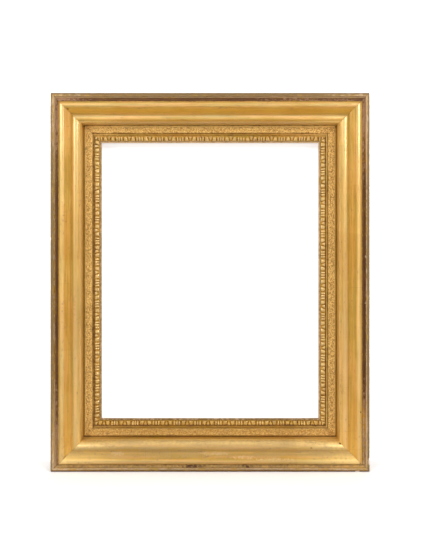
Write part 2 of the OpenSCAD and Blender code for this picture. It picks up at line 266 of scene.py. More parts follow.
def ogee_section():
    """The moulding's outline, from the back's outer corner round the front to the back's inner corner."""
    edge, land_rise = 0.4, 0.15
    land_h = COVE[1] + land_rise
    p = straight((0, PLANK_T), (0, FILLET_TOP - ARRIS_R), 10)
    p += arc((ARRIS_R, FILLET_TOP - ARRIS_R), ARRIS_R, 180, 90, 8)
    p += straight((ARRIS_R + 0.3, FILLET_TOP), (FILLET_W - edge, FILLET_TOP), 7)
    p += arc((FILLET_W - edge, FILLET_TOP - edge), edge, 90, 0, 4)
    p += arc(COVE, COVE_R, 180, 360, 15)
    p += straight((COVE[0] + COVE_R + land_rise, land_h), (ROLL_IN, land_h), 3)
    p += arc(ROLL, ROLL_R, 186, angle_to(ROLL, HOLLOW), 26)
    p += arc(HOLLOW, HOLLOW_R, angle_to(HOLLOW, ROLL), angle_to(HOLLOW, SWELL), 22)[1:-1]
    p += arc(SWELL, SWELL_R, angle_to(SWELL, HOLLOW), 0, 28)
    p += straight((MOULDING_W, SWELL[1] - 1), (MOULDING_W, PLANK_T), 22)
    p += straight((MOULDING_W, PLANK_T), (0, PLANK_T), 5)
    return p


def frieze_section():
    """The frieze rail's outline, from its back's outer corner round the front to the lip's back."""
    top, e = FRIEZE_TOP, 0.25
    quirk, panel, floor = top - QUIRK_D, top - PANEL_SINK, top - BEAD_SINK
    bead_from, bead_to = BEAD_IN - BEAD_R, BEAD_IN + BEAD_R
    plank_in = SIGHT_IN - LIP_W
    p = straight((MOULDING_W, PLANK_T), (MOULDING_W, quirk), 4)
    p += straight((MOULDING_W, quirk), (FRIEZE_IN, quirk), 3)
    p += straight((FRIEZE_IN, quirk), (FRIEZE_IN, top - e), 3)
    p += straight((FRIEZE_IN + e, top), (PANEL_IN - e, top), 3)
    p += straight((PANEL_IN, top - e), (PANEL_IN, panel), 2)
    p += straight((PANEL_IN, panel), (GAP_IN - e, panel), 16)
    p += straight((GAP_IN, panel - e), (GAP_IN, floor), 2)
    p += straight((GAP_IN, floor), (bead_from, floor), 3)
    p += straight((bead_from, floor), (bead_from, top), 3)
    p += arc((BEAD_IN, top), BEAD_R, 180, 0, 9)
    p += straight((bead_to, top - 0.2), (bead_to, floor), 3)
    p += straight((bead_to, floor), (SEAT_IN, floor), 3)
    p += straight((SEAT_IN, SEAT_HIGH), (FILLET_IN, SEAT_LOW), 8)
    p += straight((FILLET_IN, SEAT_LOW), (FILLET_IN, SIGHT_TOP - e), 3)
    p += straight((FILLET_IN + e, SIGHT_TOP), (SIGHT_IN - 0.5, SIGHT_TOP), 4)
    p += straight((SIGHT_IN, SIGHT_TOP - 0.5), (SIGHT_IN, LEDGE), 4)
    p += straight((SIGHT_IN, LEDGE), (plank_in, LEDGE), 3)
    p += straight((plank_in, LEDGE), (plank_in, PLANK_T), 2)
    p += straight((plank_in, PLANK_T), (MOULDING_W, PLANK_T), 4)
    return p


# Single marks that the photograph shows, as (side, place along it, distance in, half length, half width).
# Chips through to the wood or gesso
CHIPS = (
    ("left", 77.0, 0.6, 2.2, 1.2),
    ("right", -318.0, 1.6, 6.0, 3.0),
    ("bottom", 262.0, 1.0, 3.5, 1.8),
    ("right", -322.0, 9.0, 2.4, 2.0),
    ("left", -26.0, 6.6, 1.8, 0.9),
    ("right", -37.0, 7.0, 2.0, 1.2),
    ("right", 46.0, 6.8, 2.2, 1.1),
)
# Small knocks that have filled with dirt
KNOCKS = (
    ("bottom", 178.6, 45.5, 1.8, 1.0),
    ("bottom", 230.0, 53.0, 2.2, 1.3),
    ("bottom", 266.5, 16.8, 2.2, 1.5),
    ("top", -252.5, 29.8, 3.2, 1.2),
    ("right", -229.0, 17.0, 1.8, 1.0),
)
# Pale scuffs
SCUFFS = (
    ("bottom", -164.0, 34.0, 14.0, 4.0),
    ("bottom", 8.0, 35.0, 26.0, 4.5),
    ("bottom", 118.0, 23.5, 40.0, 3.5),
    ("bottom", 60.0, 27.0, 22.0, 3.0),
)

# The mouldings on each side. How much further in the worn bands lie, and how much wider the bole band is
BAND_SHIFT = {"top": 0.9, "bottom": -0.8, "left": 0.9, "right": -0.7}
LAND_SHIFT = {"top": 1.7, "bottom": 0.0, "left": 0.8, "right": 0.0}
# Where the cove's rubbed arris lies, and how strongly it is rubbed at the middle and further at the ends
ARRIS_AT = {"top": 7.3, "bottom": 5.7, "left": 7.2, "right": 6.0}
ARRIS_RUB = {"top": (0.3, 0.3), "bottom": (0.1, 0.0), "left": (0.0, 0.9), "right": (0.0, 0.9)}
# How far the swell's lit crest lies from its middle, and how dark the painted shade in the hollow is
SWELL_SHIFT = {"top": -2.2, "bottom": 2.4, "left": 1.0, "right": -0.5}
SHADE = {"top": 1.0, "bottom": 0.0, "left": 0.25, "right": 0.3}
# How dull the outer fillet is at the middle, and how much cleaner at the ends
FILLET_DULL = {"top": (0.74, 0.1), "bottom": (0.58, 0.3), "left": (0.74, 0.35), "right": (0.74, 0.15)}
# How dark the outermost edge is
RIM = {"top": 0.75, "bottom": 0.75, "left": 0.45, "right": 0.45}
# How far the lower end of the roll's foot is rubbed, and how warm the gold is near there, with painted light
LOW_RUB = {"top": 0.0, "bottom": 0.0, "left": 0.75, "right": 0.5}
LOW_WARM_LIGHT = {"left": 0.26, "right": 0.42}
# How dark the moulding's foot is at the middle, with dirt and painted shade, and how much lighter at the ends
FOOT_DIRT_AND_SHADE = {"top": (0.95, 0.4), "bottom": (0.4, 0.35), "left": (0.8, 0.6), "right": (0.8, 0.6)}

# The friezes on each side. Dark lines along the bead, as (distance in from the bead, strength)
DARK_LINES = {
    "top": ((-2.9, 0.95),),
    "bottom": ((4.2, 1.0), (-0.9, 0.95)),
    "left": ((0.2, 1.0), (1.8, 0.8)),
    "right": ((2.5, 1.0), (0.5, 0.45), (-1.5, 1.0)),
}
# How dark the gaps beside the bead, the quirk, with dirt and painted shadow, and the border's inner edge are
GAP_DARKNESS = {"top": 0.55, "bottom": 0.55, "left": 0.55, "right": 0.25}
QUIRK_DIRT_AND_SHADE = {"top": 0.36, "bottom": 1.2, "left": 1.2, "right": 1.2}
STEP_DARKNESS = {"top": 0.0, "bottom": 0.6, "left": 0.6, "right": 0.6}
# How much painted light the sanded gold has, and how dark it is in tone and painted shade
FRIEZE_PAINTED_LIGHT = {"top": 0.05, "bottom": 0.0, "left": 0.35, "right": 0.25}
FRIEZE_TONE_AND_SHADE = {"top": 0.45, "bottom": 0.7, "left": 0.0, "right": 0.0}
# How rubbed the sight fillet is
FILLET_RUB = {"top": 0.75, "bottom": 0.40, "left": 0.5, "right": 0.6}

# The leaf strips on each side: dirt along the outer edge as (strength, width), and dirt all over
STRIP_EDGE = {"top": (-0.4, 2.2), "bottom": (0.85, 3.2), "left": (0.8, 2.0), "right": (0.9, 1.8)}
STRIP_SOOT = {"top": 0.20, "bottom": 0.28, "left": 0.10, "right": 0.10}
# How pale the raised leaves are, in tone and as a painted highlight, how glossy, how deep in tone, and how
# rubbed at the sight edge
STRIP_PALE_HIGHLIGHT = {"top": 0.45, "bottom": 0.6, "left": 0.72, "right": 0.6}
STRIP_GLOSS = {"top": 0.8, "bottom": 0.3, "left": 0.8, "right": 0.8}
STRIP_DEEP = {"top": 0.4, "bottom": 0.7, "left": 0.15, "right": 0.15}
STRIP_RUB = {"top": 0.5, "bottom": 0.35, "left": 0.3, "right": 0.3}


def spots(side, s, t, places):
    """How strongly each point lies in one of the listed places on this side, with ragged edges."""
    total = np.zeros(s.shape)
    wobble = 1 + 0.35 * noise(s / 2.1, t / 1.3, 41)
    for where, s0, t0, half_s, half_t in places:
        if where == side:
            r = np.sqrt(((s - s0) / half_s) ** 2 + ((t - t0) / half_t) ** 2) * wobble
            total = np.maximum(total, rise(1.25 - r, 0, 0.5))
    return total


def ogee_push(side, s, t, h):
    """How far each point of a moulding moves outward, in millimetres."""
    k = SIDES.index(side) * OGEE_STRIDE
    d = 0.10 * noise(s / 70 + k, t / 18, 1) + 0.05 * noise(s / 9 + k, t / 3, 2) - 0.04
    # knocks along both edges of the outer fillet
    inner = bump(t, FILLET_W, 1.6) * rise(h, 48, 49.6)
    outer = 0.35 * bump(t, 0.6, 2.4) * rise(h, 46, 49)
    large = 0.55 * rise(noise(s / 13 + k, t / 6, 3), 0.32, 0.62)
    small = 0.25 * rise(noise(s / 3.5 + k, t, 4), 0.3, 0.7)
    d -= np.maximum(inner, outer) * (large + small)
    # shallow dents on the roll and the swell
    d -= rise(h, 54, 56.5) * 0.35 * rise(noise(s / 16 + k, t / 6, 5), 0.45, 0.8)
    d -= 0.55 * spots(side, s, t, CHIPS) * rise(h, 43, 47)
    d -= 0.45 * spots(side, s, t, KNOCKS) * rise(h, 40, 44)
    front = rise(h, 20, 30)
    return np.where(h < PLANK_T + 0.1, 0.0, d * (0.3 + 0.7 * front))


class Moulding:
    """The parts of a moulding's face as shares from 0 to 1, and the random fields that its wear follows."""

    def __init__(self, side, s, t, h):
        k = SIDES.index(side) * OGEE_STRIDE
        shift = BAND_SHIFT[side]
        self.side, self.s, self.t, self.h = side, s, t, h
        self.upright = side in ("left", "right")
        self.blotch = noise(s / 34 + k, t / 9, 11, 4)
        self.fine = noise(s / 6 + k, t / 2.2, 12, 3)
        # from -1 to 1 along the side, and from 0 at its middle to 1 at its ends
        self.f = s / HALF[side]
        self.ends = rise(np.abs(self.f), 0.45, 0.95)
        self.land = ROLL_IN - LAND_W + shift + LAND_SHIFT[side] + 0.75 * noise(s / 3.2 + k, 0 * s, 13, 2)
        self.cove = rise(t, FILLET_W + shift, FILLET_W + shift + 1.2) * rise(h, 30, 44)
        self.cove = self.cove * (1 - rise(t, self.land - 0.6, self.land + 0.9))
        self.fillet = (1 - rise(t, FILLET_W - 0.5, FILLET_W + 0.3)) * rise(h, 26, 34)
        self.outermost = 1 - rise(t, 1.2, 4.2)
        self.arris = bump(t, ARRIS_AT[side], 2.2) * rise(h, 44.2, 46.0)
        self.roll = bump(t, ROLL[0] - 0.2 + shift, 5.4) * rise(h, 53, 56)
        self.swell = bump(t, SWELL[0] + SWELL_SHIFT[side], 7.5) * rise(h, 53.5, 57.0)
        self.flank = rise(t, SWELL[0] + 4, SWELL[0] + 7) * rise(h, 34, 44)
        self.low_end = rise(-self.f, 0.45, 0.98)


def ogee_bole(m):
    """Where the leaf is worn off the cove: less in the lower rail and near the ends of the others."""
    if m.side == "bottom":
        worn = 0.16 + 0.35 * m.blotch + 0.15 * rise(np.abs(m.f), 0.6, 0.95)
        less = 0.5
    elif m.side == "top":
        worn = 0.80 + 0.2 * m.blotch - 0.20 * rise(m.f, 0.1, 0.6)
        less = 0.5
    elif m.side == "left":
        worn = 1.0 + 0.2 * m.blotch - 0.30 * rise(m.f, 0.45, 0.95) - 0.60 * rise(-m.f, 0.50, 0.95)
        less = 0.45 + 0.5 * m.ends
    else:
        worn = 0.75 + 0.25 * m.blotch - 0.40 * rise(-m.f, 0.4, 0.9)
        less = 0.35 + 0.6 * rise(m.f, 0.0, 0.8)
    return m.cove * rise(worn + 0.2 * m.fine, 0.05, 0.75) * (1 - less * m.arris)


def ogee_dull(m):
    """Age over the fillet and the cove."""
    middle, cleaner = FILLET_DULL[m.side]
    fillet = m.fillet * (middle + 0.35 * m.outermost + 0.20 * m.blotch) * (1 - cleaner * m.ends)
    cove = m.cove * (0.60 + 0.2 * m.blotch) * (0.7 if m.side == "bottom" else m.ends)
    return np.maximum(fillet, cove)


def ogee_rub(m):
    """Where handling has rubbed through to the pale gesso."""
    middle, more = ARRIS_RUB[m.side]
    arris = m.arris * (0.62 + 0.25 * m.fine + middle + more * m.ends)
    fillet = m.fillet * m.ends * (0.55 + 0.3 * m.fine) * (1 - 0.7 * m.outermost)
    if m.side == "top":
        pale = np.maximum(0.7 * rise(m.f, 0.05, 0.5), rise(-m.f, 0.62, 0.90))
    else:
        pale = (0.45 if m.side == "bottom" else 1.0) * rise(np.abs(m.f), 0.32, 0.80)
    cove = m.cove * pale * (0.62 + 0.3 * m.fine)
    foot = bump(m.t, ROLL_IN + 1.0, 2.8) * rise(m.h, 44, 46) * LOW_RUB[m.side]
    foot = foot * rise(-m.f, 0.3, 0.85) * (0.85 + 0.3 * m.fine)
    return np.maximum.reduce([arris, fillet, cove, foot])


def ogee_pale_and_highlight(m):
    """A pale tone of the leaf on the crests, and a painted highlight on them and on the inner flank, most
    where the light falls.
    """
    leaf = np.maximum((0.1 if m.side == "top" else 0.5) * m.roll, 0.15 * m.swell) * (0.8 + 0.3 * m.blotch)
    lit = 0.0
    if m.upright:
        # a painted highlight on the crests towards the upper ends of the uprights
        upper = rise(m.f, 0.35, 0.9)
        leaf = np.maximum(leaf, 0.9 * m.roll * upper) * (1 - 0.5 * rise(m.t, 24, 30))
        leaf = np.maximum(leaf, 0.9 * m.swell * upper)
        # painted light on the flank, towards both ends of the uprights
        lit = rise(m.f, 0.15, 0.8) + 0.5 * rise(-m.f, 0.4, 0.9)
    if m.side == "bottom":
        leaf = np.maximum(leaf, 0.95 * np.maximum(m.roll, 0.5 * m.swell) * m.ends)
        # painted light over the lower rail's flank
        lit = 0.85 + 0.15 * m.ends
    return np.maximum(leaf, m.flank * lit)


def ogee_gloss(m):
    """The burnished crests and flank."""
    return np.maximum.reduce([m.roll, m.swell, 0.5 * m.flank]) * (0.85 + 0.3 * m.blotch)


def ogee_painted_shade(m):
    """Painted shade in the hollow, and on the crests and flank where the photograph shows it."""
    deep = bump(m.t, HOLLOW[0] + 1.0, 9.0) * rise(m.h, 50.0, 50.5) * (1 - rise(m.h, 54, 57)) * SHADE[m.side]
    # uprights: painted shade over the swell at mid-height, less towards the lower ends
    if m.upright:
        middle = (1 - rise(m.f, 0.0, 0.6)) * (1 - rise(-m.f, 0.5, 0.9))
        return np.maximum(deep, 0.60 * m.swell * middle) * (1 - 0.7 * m.low_end)
    # top rail: painted shade on the downward-facing flank and the swell's inner side, less towards the ends
    if m.side == "top":
        shade = np.maximum(m.flank, bump(m.t, SWELL[0] + 4.0, 3.5) * rise(m.h, 52, 54))
        return np.maximum(deep, 0.9 * shade * (1 - 0.8 * rise(np.abs(m.f), 0.3, 0.95)))
    # lower rail: painted shade on the swell
    return np.maximum(deep, 0.3 * m.swell)


def ogee_painted_light(m):
    """Painted light: the brightest gold, on the flank near the ends and over much of the lower rail."""
    if m.side != "bottom":
        return m.flank * 0.85 * m.ends
    flank = m.flank * (0.75 + 0.25 * m.ends)
    inward = 0.75 * m.ends * rise(m.t, m.land, m.land + 2.0)
    hollow = (0.45 + 0.4 * m.ends) * bump(m.t, HOLLOW[0] + 4.0, 7.0)
    return np.maximum.reduce([flank, inward, 0.35 * m.cove, hollow])


def ogee_warm_light(m):
    """A warmer tone of gold on the uprights, and painted light at their lower ends."""
    if not m.upright:
        return np.zeros(m.t.shape)
    warm = m.low_end * rise(m.t, m.land + 1.0, m.land + 3.0) * LOW_WARM_LIGHT[m.side]
    warm = np.maximum(warm, 0.22 * m.swell * rise(-m.f, 0.2, 0.7))
    return np.maximum(warm * (1 - 0.5 * m.roll), 0.18 * m.flank)


def ogee_dust(m):
    """The dust that lies on the lower rail."""
    if m.side != "bottom":
        return np.zeros(m.t.shape)
    clean = 1 - 0.75 * m.ends * rise(m.t, SWELL[0] - 3, SWELL[0] + 4)
    dust = (0.65 + 0.35 * m.blotch) * rise(m.t, 22, 30) * rise(m.h, 40, 46) * clean
    return np.maximum.reduce([dust, 0.85 * m.cove, 0.85 * 0.7 * m.fillet])


def ogee_grime_and_shade(m):
    """Dirt and painted shade at the foot, dirt in the mitres, in the groove beside the roll and in the
    knocks, a dark rim, and a painted shadow along the lower rail's bottom edge.
    """
    # dirt and painted shade at the moulding's foot
    middle, cleaner = FOOT_DIRT_AND_SHADE[m.side]
    foot_h = 32.0 - 3.5 * m.ends if m.side == "top" else 27.5
    foot = (middle - cleaner * m.ends) * rise(m.t, MOULDING_W - 1.0, MOULDING_W - 0.05)
    foot = foot * (1 - rise(m.h, 24.5, foot_h))
    to_mitre = HALF[m.side] - m.t - np.abs(m.s)
    mitre = 1 - rise(to_mitre, 0.1, 1.2 + 0.8 * np.abs(m.fine))
    mitre = mitre * (0.6 - 0.45 * rise(m.t, SWELL[0], MOULDING_W - 3))
    groove = bump(m.t, ROLL_IN - 0.1, 1.0) * (1 - rise(m.h, 49.0, 50.5)) * rise(m.h, 40, 45)
    groove = groove * (0.12 if m.side == "bottom" else 0.6)
    front = rise(m.h, 34, 40)
    rim = RIM[m.side] * (1 - rise(m.t, 0.3, 1.5)) * front
    # a painted shadow along the lower rail's bottom edge, where it meets the table
    if m.side == "bottom":
        rim = np.maximum(rim, 1.4 * (1 - rise(m.t, 2.0, 3.4)) * front)
    grime = np.maximum.reduce([foot, mitre, groove, rim]) + 0.10 * m.blotch * rise(m.h, 40, 46)
    return np.maximum(grime, spots(m.side, m.s, m.t, KNOCKS) * rise(m.h, 40, 44))


def ogee_marks(side, s, t, h):
    """The values that a moulding's finish reads, from 0 to 1."""
    m = Moulding(side, s, t, h)
    marks = {
        "bole": ogee_bole(m),
        "dull": ogee_dull(m),
        "rub": ogee_rub(m),
        "leaf": ogee_pale_and_highlight(m),
        "gloss": ogee_gloss(m),
        "deep": ogee_painted_shade(m),
        "bright": ogee_painted_light(m),
        "warm": ogee_warm_light(m),
        "dust": ogee_dust(m),
        "grime": ogee_grime_and_shade(m),
        "scuff": spots(side, s, t, SCUFFS),
        "chip": spots(side, s, t, CHIPS) * rise(h, 43, 46.5),
        "raw": 1 - rise(h, PLANK_T + 0.1, PLANK_T + 1.5),
    }
    return {key: np.clip(value, 0, 1) for key, value in marks.items()}


def frieze_push(side, s, t, h):
    """How far each point of a frieze rail moves outward, in millimetres."""
    k = SIDES.index(side) * FRIEZE_STRIDE + FRIEZE_START
    d = 0.05 * noise(s / 40 + k, t / 9, 21) - 0.06
    sand = rise(t, PANEL_IN, PANEL_IN + 0.5) * (1 - rise(t, GAP_IN - 0.8, GAP_IN - 0.2)) * rise(h, 24.9, 25.3)
    d += sand * 0.16 * noise(s / 1.7 + k, t / 1.7, 22, 2)
    worn = rise(noise(s / 15 + k, t / 4, 23), 0.35, 0.7)
    d -= bump(t, BEAD_IN, 1.2) * rise(h, 26.2, 26.8) * 0.4 * worn
    return np.where(h < LEDGE + 0.1, 0.0, d)


def frieze_grime_and_shade(side, s, t, h, fine):
    """Dirt and painted shadow in the quirk, darkness beside the bead and at the border's edge, dirt in the
    mitres and on the sight edge, and dark lines along the bead.
    """
    gaps = np.maximum(bump(t, GAP_IN + BEAD_GAP / 2, 0.9), bump(t, BEAD_IN + BEAD_R + BEAD_GAP / 2, 0.9))
    gaps = GAP_DARKNESS[side] * gaps * (1 - rise(h, 25.0, 25.9))
    # dirt and painted shadow in the quirk
    quirk = QUIRK_DIRT_AND_SHADE[side] * (1 - rise(t, FRIEZE_IN - 0.1, FRIEZE_IN + 0.15)) * (1 - rise(h, 25.2, 25.9))
    step = STEP_DARKNESS[side] * bump(t, PANEL_IN + 0.3, 0.9) * (1 - rise(h, 25.6, 26.0))
    to_mitre = HALF[side] - t - np.abs(s)
    mitre = 0.35 * (1 - rise(to_mitre, 0.0, 1.6 + np.abs(fine)))
    wall = 0.35 * rise(t, SIGHT_IN - 0.3, SIGHT_IN - 0.05) * (1 - rise(h, 19.0, 20.5))
    lines = [strength * bump(t, BEAD_IN + at, 1.9) for at, strength in DARK_LINES[side]]
    grime = np.maximum.reduce([gaps, quirk, step, mitre, wall, *lines])
    if side == "bottom":
        near = 0.55 * (1 - rise(t, FRIEZE_IN, FRIEZE_IN + 5.0)) * rise(h, 24.6, 25.2)
        grime = np.maximum(grime, near)
    return grime


def frieze_painted_light(side, s, t):
    """Painted light on the sanded gold: towards the ends, and in bands along three of the sides."""
    bright = FRIEZE_PAINTED_LIGHT[side] + 0.45 * rise(np.abs(s / HALF[side]), 0.45, 0.85)
    if side == "top":
        outer = 0.95 * (1 - rise(t, FRIEZE_IN + 2.0, FRIEZE_IN + 7.0))
        return np.maximum.reduce([bright, outer, 0.6 * bump(t, GAP_IN - 3.5, 2.5)])
    if side == "bottom":
        return bright
    return np.maximum(bright, 0.8 * bump(t, FRIEZE_IN + 4.0, 4.0))


def frieze_marks(side, s, t, h):
    """The values that a frieze rail's finish reads, from 0 to 1."""
    k = SIDES.index(side) * FRIEZE_STRIDE + FRIEZE_START
    lower = side == "bottom"
    blotch = noise(s / 30 + k, t / 9, 24, 4)
    fine = noise(s / 5 + k, t / 2.2, 25, 3)
    sand = rise(t, PANEL_IN, PANEL_IN + 0.4) * (1 - rise(t, GAP_IN - 0.4, GAP_IN)) * rise(h, 24.6, 25.2)
    # painted light on the frieze beside the quirk, where the moulding's wall shades it
    beside = rise(t, FRIEZE_IN + 0.1, FRIEZE_IN + 0.4) * (1 - rise(t, FRIEZE_IN + 1.5, FRIEZE_IN + 8.0))
    beside = beside * rise(h, 24.8, 25.3)
    fillet = rise(t, FILLET_IN - 0.8, FILLET_IN + 0.2)
    border = bump(t, FRIEZE_IN + BORDER_W / 2, 0.8) * 0.25 * (1 + fine)
    raw_top = np.where(t > SIGHT_IN - 0.2, LEDGE + 1.2, LEDGE + 0.4)
    marks = {
        "raw": 1 - rise(h, LEDGE + 0.1, raw_top),
        "sand": sand,
        "bright": frieze_painted_light(side, s, t),
        # painted light beside the quirk
        "leaf": (0.0 if lower else 0.8) * beside,
        "dust": np.full(t.shape, 0.35 if lower else 0.0),
        # a darker tone and painted shade, less beside the quirk
        "deep": FRIEZE_TONE_AND_SHADE[side] * (1 - 0.8 * beside),
        "bole": 0.25 * rise(blotch, 0.2, 0.7) * (1 - sand),
        "dull": fillet * 0.8 + 0.1 * blotch,
        "rub": np.maximum(fillet * FILLET_RUB[side], border),
        "grime": frieze_grime_and_shade(side, s, t, h, fine) + 0.08 * blotch,
    }
    return {key: np.clip(value, 0, 1) for key, value in marks.items()}


# The place of one dart along each leaf strip and the length of the repeat there, and a flute's width
DARTS = {"top": (-183.5, 36.9), "bottom": (-154.9, 37.8), "left": (206.4, 38.2), "right": (217.2, 37.6)}
FLUTE_PITCH = 4.5


def domed(x):
    """A rounded ridge of height 1 at 0 that meets the ground at 1 on each side."""
    return np.clip(1 - x**2, 0, 1) ** 0.7


def leaf_height(side, s, w):
    """Height of the ornament above its seat, at s along the strip and w across it from the outer edge."""
    v = w / LEAF_W
    dart_at, pitch = DARTS[side]
    turns = (s - dart_at) / pitch + 0.5
    unit = np.floor(turns)
    p = (turns - unit - 0.5) * pitch
    jitter = 0.25 * noise(unit * 3.1, np.zeros(unit.shape), 61, 1)
    q = np.abs(p + jitter)
    r = pitch / 2 - q
    hang = rise(v, 0.0, 0.16) * (1 - rise(v, 0.80, 1.0))
    belly = 0.9 + 1.0 * rise(v, 0.05, 0.62) - 0.75 * rise(v, 0.72, 1.0)
    # the dart, between two cuts that close towards the sight edge, with a bead at its head
    cut = 4.3 - 3.0 * v
    dart = 0.25 + 1.25 * domed(q / (cut - 0.4)) * (1 - 0.55 * v)
    bead = 1.75 * domed(np.hypot(q / 1.5, (v - 0.16) * LEAF_W / 1.5))
    hole = bump(q, 0, 1.7) * bump(v, 0.88, 0.16)
    # the leaf lobe on each side of the dart, widening towards the sight edge
    inner, outer = cut + 0.25, 10.2 + 0.9 * v
    mid, half = (inner + outer) / 2, (outer - inner) / 2
    veins = 0.45 * bump(q, mid + 0.30 * half, 1.0) + 0.20 * bump(q, mid - 0.35 * half, 0.8)
    lobe = domed((q - mid) / half) * (belly + 0.40 - veins)
    # the fluted tongue, whose ridges end in scallops
    ridge = (r / FLUTE_PITCH + 0.5) % 1.0 - 0.5
    wall = 1.5 * FLUTE_PITCH
    end = 0.93 - 0.10 * (2 * ridge) ** 2
    tongue = domed(2 * ridge) * (0.35 + 0.65 * belly) + 0.25
    tongue = tongue * (1 - 0.75 * rise(v, end - 0.06, end + 0.06)) * rise(wall - r, -0.3, 0.5)
    z = np.maximum.reduce([dart * (1 - 0.9 * hole), bead, lobe * hang ** 0.5, tongue * hang ** 0.4])
    z = 0.30 + z * 0.98 + 0.07 * noise(s / 1.3, w / 1.3, 62, 2)
    worn = rise(noise(s / 21.0 + 5 * SIDES.index(side), w / 16.0, 63), 0.25, 0.75)
    return z * (1 - 0.25 * worn) + 0.12 * noise(s / 9.0, w / 7.0, 64)


def blurred(field, reach):
    """The grid averaged over a square of 2 reach + 1 points a side."""
    n = 2 * reach + 1
    for axis in (0, 1):
        pad = [(reach + 1, reach) if a == axis else (0, 0) for a in (0, 1)]
        total = np.cumsum(np.pad(field, pad, mode="edge"), axis)
        count = total.shape[axis]
        field = (np.take(total, range(n, count), axis) - np.take(total, range(count - n), axis)) / n
    return field


def leaf_marks(side, s, w, z, hollow):
    """The values that a leaf strip's finish reads, from 0 to 1. hollow is the depth in the carving."""
    k = SIDES.index(side)
    blotch = noise(s / 30.0, w / 9.0, 66 + k, 4)
    specks = noise(s / 3.1, w / 2.6, 68 + k, 2)
    worn = rise(noise(s / 8.0, w / 3.0, 67 + k), 0.2, 0.7) * rise(z, 1.5, 2.1)
    edge, edge_w = STRIP_EDGE[side]
    cavity = np.clip(hollow * 1.2 + STRIP_SOOT[side], 0, 1)
    cavity = cavity + 0.22 * rise(-specks, 0.1, 0.6) + edge * (1 - rise(w, 0.3, edge_w))
    raised = rise(z, 0.8, 1.8)
    marks = {
        "grime": np.clip(cavity, 0, 1) + 0.1 * blotch,
        "rub": np.maximum(0.35 * worn, STRIP_RUB[side] * rise(w, 0.78 * LEAF_W, LEAF_W)),
        "bole": 0.15 * rise(blotch, 0.1, 0.6),
        # a pale tone and a painted highlight on the raised parts
        "leaf": raised * STRIP_PALE_HIGHLIGHT[side] * (0.45 + 0.55 * rise(specks, -0.3, 0.4)),
        "gloss": raised * STRIP_GLOSS[side],
        "deep": np.full(z.shape, STRIP_DEEP[side]),
    }
    return {key: np.clip(value, 0, 1) for key, value in marks.items()}


def leaf_strip(side):
    """A strip of pressed leaf and dart ornament on its sloping seat, closed below by a flat back."""
    across = np.concatenate([[0.0], np.linspace(0, LEAF_W, LEAF_ACROSS), [LEAF_W]])
    up = np.array([math.sin(SEAT_ANGLE), math.cos(SEAT_ANGLE)])
    inward = np.array([math.cos(SEAT_ANGLE), -math.sin(SEAT_ANGLE)])
    t0 = SEAT_IN + (LEAF_INSET + across) * inward[0]
    h0 = SEAT_HIGH + (LEAF_INSET + across) * inward[1]
    steps = int(2 * (HALF[side] - t0[0]) / LEAF_STEP)
    f = np.linspace(-1, 1, steps + 1)[:, None]
    s = f * (HALF[side] - t0 - MITRE_GAP)
    w = np.broadcast_to(across, s.shape)
    z = leaf_height(side, s, w)
    hollow = blurred(z, HOLLOW_REACH) - z
    z[:, 0] = z[:, -1] = -LEAF_SUNK
    t, h = t0 + z * up[0], h0 + z * up[1]
    data = leaf_marks(side, s, w, z, hollow)
    data["st"] = finish_place(side, s, t, h)
    points = place(side, f * (HALF[side] - t - MITRE_GAP), t, h)
    return mesh_from_grid("leaf_and_dart_" + side, points, data, LEAF_SMOOTH)


def srgb(r, g, b):
    """A linear colour from display values of 0 to 255."""
    c = [x / 255 for x in (r, g, b)]
    return tuple(x / 12.92 if x <= 0.04045 else ((x + 0.055) / 1.055) ** 2.4 for x in c) + (1.0,)


# the pale leaf, also its painted highlight
GOLD_PALE = srgb(208, 173, 90)
GOLD_PAINTED_LIGHT = srgb(250, 218, 140)
GOLD_WARM_LIGHT = srgb(248, 194, 96)
GOLD_MID = srgb(196, 159, 80)
GOLD_DEEP = srgb(188, 146, 58)
# also the colour of painted shade
GOLD_SHADE = srgb(164, 120, 32)
GOLD_ROSE = srgb(203, 154, 82)
GOLD_OLIVE = srgb(172, 143, 66)
SAND_LIGHT = srgb(251, 216, 134)
# the sand's darker tone, also its painted shade
SAND_TONE_AND_SHADE = srgb(202, 163, 84)
SAND_SHADE = srgb(152, 100, 36)
DUST = srgb(180, 148, 98)
# also the colours of painted shade and painted shadow, through the dirt marks
UMBER = srgb(78, 44, 6)
DIRT_AND_SHADE = srgb(110, 62, 2)
OLIVE_BROWN = srgb(122, 99, 66)
AUBERGINE = srgb(106, 70, 44)
PLUM = srgb(82, 52, 35)
BOLE_ROSE = srgb(178, 138, 106)
GESSO_PINK = srgb(206, 176, 138)
SCUFF_PALE = srgb(220, 186, 138)
OCHRE_WASH = srgb(168, 128, 66)
RAW_WOOD = srgb(156, 122, 82)
BARE_PINE = srgb(148, 112, 74)
PINE_EARLY = srgb(176, 139, 96)
PINE_LATE = srgb(132, 92, 54)
PINE_FIBRE = srgb(108, 76, 46)
PINE_STAIN = srgb(92, 66, 42)
PINE_BLOOM = srgb(150, 132, 106)
PINE_DUST = srgb(64, 46, 30)
METAL_PIT = srgb(40, 28, 20)
IRON, RUST = srgb(92, 84, 78), srgb(104, 62, 36)
BRASS, TARNISH = srgb(176, 142, 82), srgb(104, 84, 50)
WALL_WHITE, WALL_SHADE = srgb(252, 251, 250), srgb(250, 249, 248)
WHITE = (1, 1, 1, 1)


